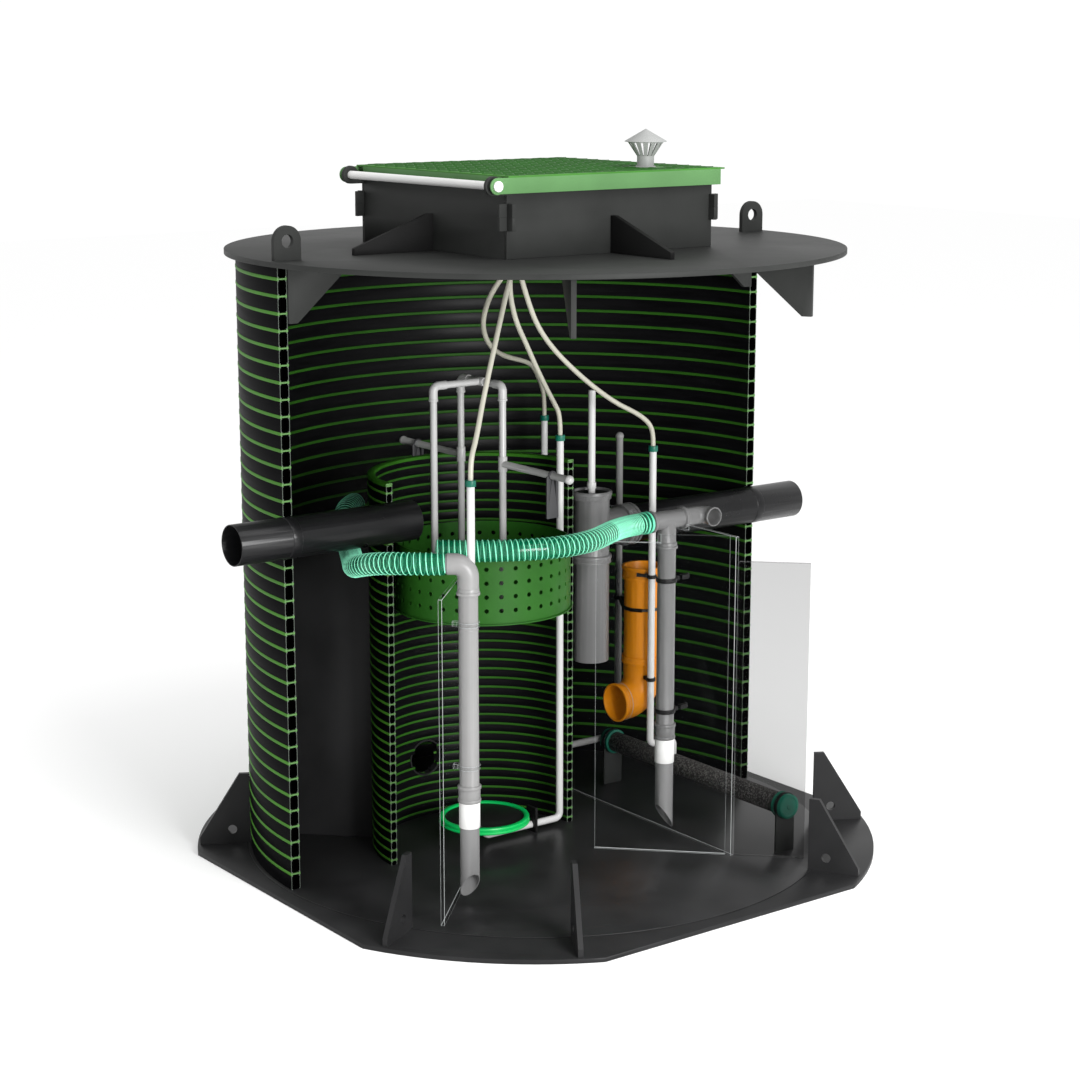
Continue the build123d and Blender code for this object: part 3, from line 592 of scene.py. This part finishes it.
# Pieces that keep their CAD form, with softened edges
PLAIN = {
    "plate": ("base_plate", "partition_left", "air_manifold"),
    "floor": ("floor_disc",),
    "cover": ("cover_plate", "cover_gussets", "neck_cross_plates", "neck_side_plates"),
    # the neck gussets take the darker cover black as painted shade
    "cover_painted_shade": ("neck_gussets",),
    "hook": ("frame_hooks",),
    "clamp": ("pipe_clamps",),
    "stand": ("tube_diffuser_stands",),
    "rubber": ("tee_seal", "disc_diffuser_membrane"),
    "white": ("hinge_rod", "airlift_couplings"),
    "air_white": ("air_pipes",),
    "soft_white": ("basket_frame",),
    "grey_white": ("tube_feed_pipe", "guide_rod"),
    "pipe": ("airlift_front",),
    "pipe_mid": ("outlet_tee", "airlift_back"),
    "orange": ("transfer_bend",),
    "drain": ("inlet_pipe", "outlet_pipe"),
    "teal": ("air_couplings", "tube_diffuser_caps"),
    "membrane": ("tube_diffuser",),
}
for key, nodes in PLAIN.items():
    for node in nodes:
        bevelled(node, [key])

# Drilled pieces keep their bare form too, with sharp edges round the holes
for node, key in (("screen_basket", "basket"), ("base_gussets", "plate"), ("lifting_eyes", "cover")):
    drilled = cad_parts[node].data.copy()
    drilled.materials.clear()
    add(node + "_dressed", drilled, [key], replaces=[node])

# Clear and frosted panels, and clear clips, with their bevelled edges painted pale as a highlight
for node in ("partition_front", "partition_front_left", "partition_right"):
    bevelled(node, ["panel", "panel_edge_highlight"], 1.6)
bevelled("partition_front_right", ["frosted", "frosted_edge_highlight"], 1.6)
bevelled("clear_clamps", ["clear_clamp", "panel_edge_highlight"], 1.2)

# Neck corners: the other halves of the tabs that lock the plates
tabs = bmesh.new()
for x0, x1 in ((-524.5, -491), (515, 548.5)):
    for y in (-480, 505):
        box(tabs, (x0, y, 2602), (x1, y + 15, 2652))
for y0, y1 in ((-514, -480.5), (520.5, 554)):
    for x in (-490.5, 499.5):
        box(tabs, (x, y0, 2652), (x + 15, y1, 2702))
add("neck_tab_halves", finish_mesh(tabs, "neck_tab_halves"), ["cover"])

# Lid: bright top, paler skirts, and a tread of short wavy ridges painted a darker green as their shade
LID_PLATE_LOW = 2799.5
LID_TOP = 2806
LID_X = (-499.5, 559.5)
LID_Y = (-505, 545)
VENT = (317, -305)
VENT_CLEAR = 70
lid = bevelled("lid_panel", ["lid"], 1.0, body="lid")
lid.data.materials.append(MAT["skirt"])
for polygon in lid.data.polygons:
    centre = polygon.center / MM
    if centre.z < LID_PLATE_LOW:
        polygon.material_index = 1


def wavy_ridge(bm, x, y, turn, length, half, high):
    """low ridge that bends twice, with tapered ends"""
    spots = []
    for k in range(7):
        u = k / 6
        along = (u - 0.5) * length
        aside = 0.09 * length * math.sin(2 * math.pi * u)
        w = half * math.sin(math.pi * (0.12 + 0.76 * u))
        c, d = math.cos(turn), math.sin(turn)
        px, py = x + along * c - aside * d, y + along * d + aside * c
        spots.append([bm.verts.new(mm(px + d * w, py - c * w, LID_TOP - 0.5)),
                      bm.verts.new(mm(px, py, LID_TOP + high)),
                      bm.verts.new(mm(px - d * w, py + c * w, LID_TOP - 0.5))])
    for a, b in zip(spots, spots[1:]):
        for i, j in ((0, 1), (1, 2), (2, 0)):
            bm.faces.new((a[i], b[i], b[j], a[j]))
    bm.faces.new(spots[0])
    bm.faces.new(spots[-1])


PITCH_X, PITCH_Y = 46, 37
RIDGE_LENGTH, RIDGE_HALF, RIDGE_HIGH, RIDGE_TURN = 50, 8, 3.2, 24
tread = bmesh.new()
row = 0
y = LID_Y[0] + 24
while y < LID_Y[1] - 16:
    x = LID_X[0] + 30 + (PITCH_X / 2 if row % 2 else 0)
    column = 0
    while x < LID_X[1] - 20:
        if math.hypot(x - VENT[0], y - VENT[1]) > VENT_CLEAR:
            sign = 1 if (row + column) % 2 else -1
            wavy_ridge(tread, x, y, sign * math.radians(RIDGE_TURN), RIDGE_LENGTH, RIDGE_HALF, RIDGE_HIGH)
        x += PITCH_X
        column += 1
    y += PITCH_Y
    row += 1
add("lid_tread", finish_mesh(tread, "lid_tread"), ["tread"], body="lid", smooth=40)

# Vent cap: short neck, flared slats, overhanging cone and a foot ring
vent = bmesh.new()
vx, vy = VENT
lathe(vent, tube_profile(46, 34, 30), (vx, vy, LID_TOP), closed=True)
lathe(vent, [(34, 0), (41, 0), (41, 3), (38, 5), (34, 5)], (vx, vy, LID_TOP), closed=True)
lathe(vent, [(66, 0), (70, 0), (71, 3), (66, 3)], (vx, vy, LID_TOP + 96), closed=True)
lathe(vent, [(0.4, 51), (3, 50.5), (10, 46), (83, 4), (84, 2), (83, 1), (70, 2), (10, 41), (0.4, 46)],
      (vx, vy, LID_TOP + 99))
SLATS = 14
for k in range(SLATS):
    turn = Matrix.Translation(mm(vx, vy, LID_TOP)) @ Matrix.Rotation(2 * math.pi * k / SLATS, 4, "Z")
    low, high = 6.2, 9.4
    corners = [(31, -low, 44), (31, low, 44), (34, low, 44), (34, -low, 44),
               (66.5, -high, 98), (66.5, high, 98), (70, high, 98), (70, -high, 98)]
    verts = [vent.verts.new(turn @ mm(*c)) for c in corners]
    for ids in ((0, 1, 2, 3), (4, 5, 6, 7), (0, 1, 5, 4), (1, 2, 6, 5), (2, 3, 7, 6), (3, 0, 4, 7)):
        vent.faces.new([verts[i] for i in ids])
add("vent_cap_dressed", finish_mesh(vent, "vent_cap"), ["vent"], "lid", ["vent_cap"], 35)


# Pipe sockets: a rounded bead round each mouth, and thicker elbows
def bead_ring(bm, origin, direction, inner, outer, width):
    """a ring with a rounded outside, from its origin along its direction"""
    e = (outer - inner) * 0.45
    lathe(bm, [(inner, 0), (outer - e, 0), (outer - e * 0.3, e * 0.3), (outer, e), (outer, width - e),
               (outer - e * 0.3, width - e * 0.3), (outer - e, width), (inner, width)],
          origin, direction, 40, closed=True)


def rounded(points, radius, steps=10):
    """points along straight runs joined by arcs, in mm"""
    points = [Vector(p) for p in points]
    path = [points[0]]
    for before, b, after in zip(points, points[1:], points[2:]):
        u, v = (b - before).normalized(), (after - b).normalized()
        turn = u.angle(v)
        half = turn / 2
        reach = radius * math.tan(half)
        centre = b + (v - u).normalized() * (radius / math.cos(half))
        start, end = b - u * reach - centre, b + v * reach - centre
        for k in range(steps + 1):
            a = turn * k / steps
            path.append(centre + (start * math.sin(turn - a) + end * math.sin(a)) / math.sin(turn))
    path.append(points[-1])
    return [tuple(p) for p in path]


def pipe_fittings(name, material, rings, elbows):
    """rings are (origin, direction, inner, outer, width); elbows are (points, bend, radius)"""
    bm = bmesh.new()
    for ring in rings:
        bead_ring(bm, *ring)
    for points, bend, radius in elbows:
        sweep(bm, rounded(points, bend), radius, steps=28)
    add(name, finish_mesh(bm, name), [material], smooth=40)


UP, ALONG_X, ALONG_Y = (0, 0, 1), (1, 0, 0), (0, 1, 0)

# Air lifts: LX, LY, LZ is the front one's corner, BX, BY, BZ the rear one's
LX, LY, LZ = -742, -572, 1381
pipe_fittings("airlift_front_fittings", "pipe",
              [((LX, LY, 452), UP, 41, 44.5, 12), ((LX, LY, 503), UP, 41, 45.5, 14),
               ((LX, LY, 1262), UP, 37, 45.5, 14), ((LX, LY, 1126), UP, 37, 38.6, 5)],
              [([(LX, LY, 1289), (LX, LY, LZ), (LX - 0.8 * 78, LY + 0.6 * 78, LZ)], 50, 41)])
BX, BY, BZ = 385, -383, 1381
pipe_fittings("airlift_back_fittings", "pipe_mid",
              [((BX, BY, 452), UP, 41, 44.5, 12), ((BX, BY, 503), UP, 41, 45.5, 14),
               ((BX, BY, 1262), UP, 37, 45.5, 14), ((BX - 92, BY, BZ), ALONG_X, 37, 45.5, 14),
               ((BX + 72, BY, BZ), ALONG_X, 41, 46.5, 16),
               ((BX + 195, BY - 71.5, BZ), ALONG_Y, 34.8, 40, 14)],
              ())

# Air-lift tips: plain tubes with a slanted lower end, open towards one side
TIP_TOP, TIP_LOW, TIP_SLOPE = 349, 57, 1.5
TIP_OUTER, TIP_INNER, TIP_STEPS = 37.5, 34.5, 48
tips = bmesh.new()
for x, y, fx, fy in ((LX, LY, -0.165, -0.986), (BX, BY, -0.996, 0.084)):
    columns = []
    for k in range(TIP_STEPS):
        angle = 2 * math.pi * k / TIP_STEPS
        c, d = math.cos(angle), math.sin(angle)
        slant = [(r, TIP_LOW + TIP_SLOPE * (TIP_OUTER + r * (c * fx + d * fy)))
                 for r in (TIP_OUTER, TIP_INNER)]
        loop = [slant[0], (TIP_OUTER, TIP_TOP), (TIP_INNER, TIP_TOP), slant[1]]
        columns.append([tips.verts.new(mm(x + r * c, y + r * d, z)) for r, z in loop])
    for k in range(TIP_STEPS):
        a, b = columns[k], columns[(k + 1) % TIP_STEPS]
        for i in range(4):
            tips.faces.new((a[i], b[i], b[(i + 1) % 4], a[(i + 1) % 4]))
add("airlift_tips_dressed", finish_mesh(tips, "airlift_tips"), ["pipe_tip"], replaces=["airlift_tips"],
    smooth=40)

# Pipe clips: feet behind the right panel, arms beside the feed pipe, and a strap round the transfer bend
clips = bmesh.new()
for z in (1130, 572):
    box(clips, (463, BY - 10, z - 9), (498, BY + 10, z + 9))
    sweep(clips, [(496, BY, z - 4), (500, BY, z + 13)], [10, 6], steps=16)
sweep(clips, [(517, -99, 1074), (498, -84, 1077), (482, -70, 1079)], [8, 7, 9], steps=16)
sweep(clips, [(598, 190, 915), (521, 72, 915), (492, 20, 915), (494, -28, 915), (519, -66, 915)], 8,
      steps=12)
add("clip_arms", finish_mesh(clips, "clip_arms"), ["clamp"], smooth=40)
BEND_X, STRAP_R, STRAP_Z = 574, 82, 915
strap = bmesh.new()
sweep(strap, [(BEND_X + STRAP_R * math.cos(a), STRAP_R * math.sin(a), STRAP_Z)
              for a in [math.radians(-130 + 10 * k) for k in range(17)]], 6.5, steps=12)
add("bend_strap", finish_mesh(strap, "bend_strap"), ["strap"], smooth=40)

# Socket beads of the outlet tee and of the transfer bend
TEE_X = 292
pipe_fittings("outlet_tee_beads", "pipe_mid",
              [((TEE_X, 0, 1438), UP, 82, 87, 14), ((TEE_X, 0, 1168), UP, 82, 87, 14),
               ((TEE_X, 0, 1150), UP, 82, 84.5, 8), ((492, 0, 1289), ALONG_X, 85, 90, 14),
               ((446, 0, 1289), ALONG_X, 85, 88, 8)], ())
pipe_fittings("transfer_bend_beads", "orange",
              [((BEND_X, 0, 1084), UP, 87, 92, 13), ((BEND_X, 0, 1046), UP, 87, 90.5, 9),
               ((BEND_X, 0, 672), UP, 87, 90.5, 10), ((BEND_X, 0, 690), UP, 87, 89.5, 8),
               ((426.5, 0, 508), ALONG_X, 79, 84, 12)], ())

# Elbows of the basket's frame: each leg's place and where its arm runs in to, about the frame's middle
FX, FY, FZ = -268, 8, 1963
FRAME_LEGS = ((-230, 0, -170, 0), (0, 142, 0, 84), (0, -148, 0, -90))
ELBOW_R, ELBOW_BEND = 17.2, 24
rings, elbows = [], []
for x, y, u, v in FRAME_LEGS:
    leg, corner, arm = (FX + x, FY + y, FZ - 60), (FX + x, FY + y, FZ), (FX + u, FY + v, FZ)
    rings.append(((FX + x, FY + y, FZ - 62), UP, 13.5, 19, 10))
    elbows.append(([leg, corner, arm], ELBOW_BEND, ELBOW_R))
pipe_fittings("basket_frame_elbows", "soft_white", rings, elbows)

# Hose cuff at the rear air lift: two rings
pipe_fittings("hose_cuffs", "hose_end",
              [((283, BY, BZ), (-1, 0, 0), 42.5, 46, 8), ((262, BY, BZ), (-1, 0, 0), 42.5, 45.5, 5)],
              ())

# Disc diffuser ring: two rounded hoops with a groove between
hoop = bmesh.new()
lathe(hoop, [(165, 0), (184, 0), (189, 3), (190, 7), (188, 11), (184, 13), (184, 16), (187, 18), (188, 23),
             (186, 28), (181, 30), (170, 30), (166, 27), (165, 20)], (-268, 0, 116), steps=72, closed=True)
add("disc_ring_dressed", finish_mesh(hoop, "disc_ring"), ["ring"], "tank", ["disc_diffuser_ring"],
    40)

# Tube diffuser: hose clips on the caps and ribs round their faces
DIFFUSER_X, DIFFUSER_Z = 663, 220
straps = bmesh.new()
for y in (-834, 303):
    bead_ring(straps, (DIFFUSER_X, y, DIFFUSER_Z), ALONG_Y, 51.5, 56, 16)
add("diffuser_straps", finish_mesh(straps, "diffuser_straps"), ["clamp"], smooth=40)
ribs = bmesh.new()
for y, way in ((-850, -1), (335, 1)):
    lathe(ribs, [(51, 0), (51, 3), (47, 5), (40, 5), (38, 3), (12, 3), (10, 5), (0.4, 5)],
          (DIFFUSER_X, y, DIFFUSER_Z), (0, way, 0), steps=40)
for y in (-807, 286):
    bead_ring(ribs, (DIFFUSER_X, y, DIFFUSER_Z), ALONG_Y, 43.5, 55, 9)
add("diffuser_cap_faces", finish_mesh(ribs, "diffuser_cap_faces"), ["teal"], smooth=35)

# Pale studio floor, white surroundings and three soft lights
GROUND = 30000
floor = bmesh.new()
box(floor, (-GROUND, -GROUND, -12), (GROUND, GROUND, 0))
stage_floor = bpy.data.objects.new("floor", finish_mesh(floor, "floor"))
bpy.context.scene.collection.objects.link(stage_floor)
stage_floor.data.materials.append(shader("floor_white", (0.96, 0.96, 0.96), 1.0, spec=0.0)[0])

world = bpy.data.worlds.new("studio")
bpy.context.scene.world = world
world.use_nodes = True
world.node_tree.nodes["Background"].inputs["Color"].default_value = (1, 1, 1, 1)
world.node_tree.nodes["Background"].inputs["Strength"].default_value = 1.03


LIGHT_SIZE = 3.0


def soft_light(name, place, target, power):
    light = bpy.data.lights.new(name, "AREA")
    light.size = LIGHT_SIZE
    light.energy = power
    obj = bpy.data.objects.new(name, light)
    obj.location = place
    obj.rotation_euler = (Vector(target) - Vector(place)).to_track_quat("-Z", "Y").to_euler()
    bpy.context.scene.collection.objects.link(obj)


soft_light("key", (-1.1, -8.5, 2.6), (0, 0, 1.3), 800)
soft_light("top", (0.5, -3.5, 7.5), (0, 0, 1.2), 200)
soft_light("side", (-7.5, 3.5, 3.0), (0, 0, 1.2), 30)
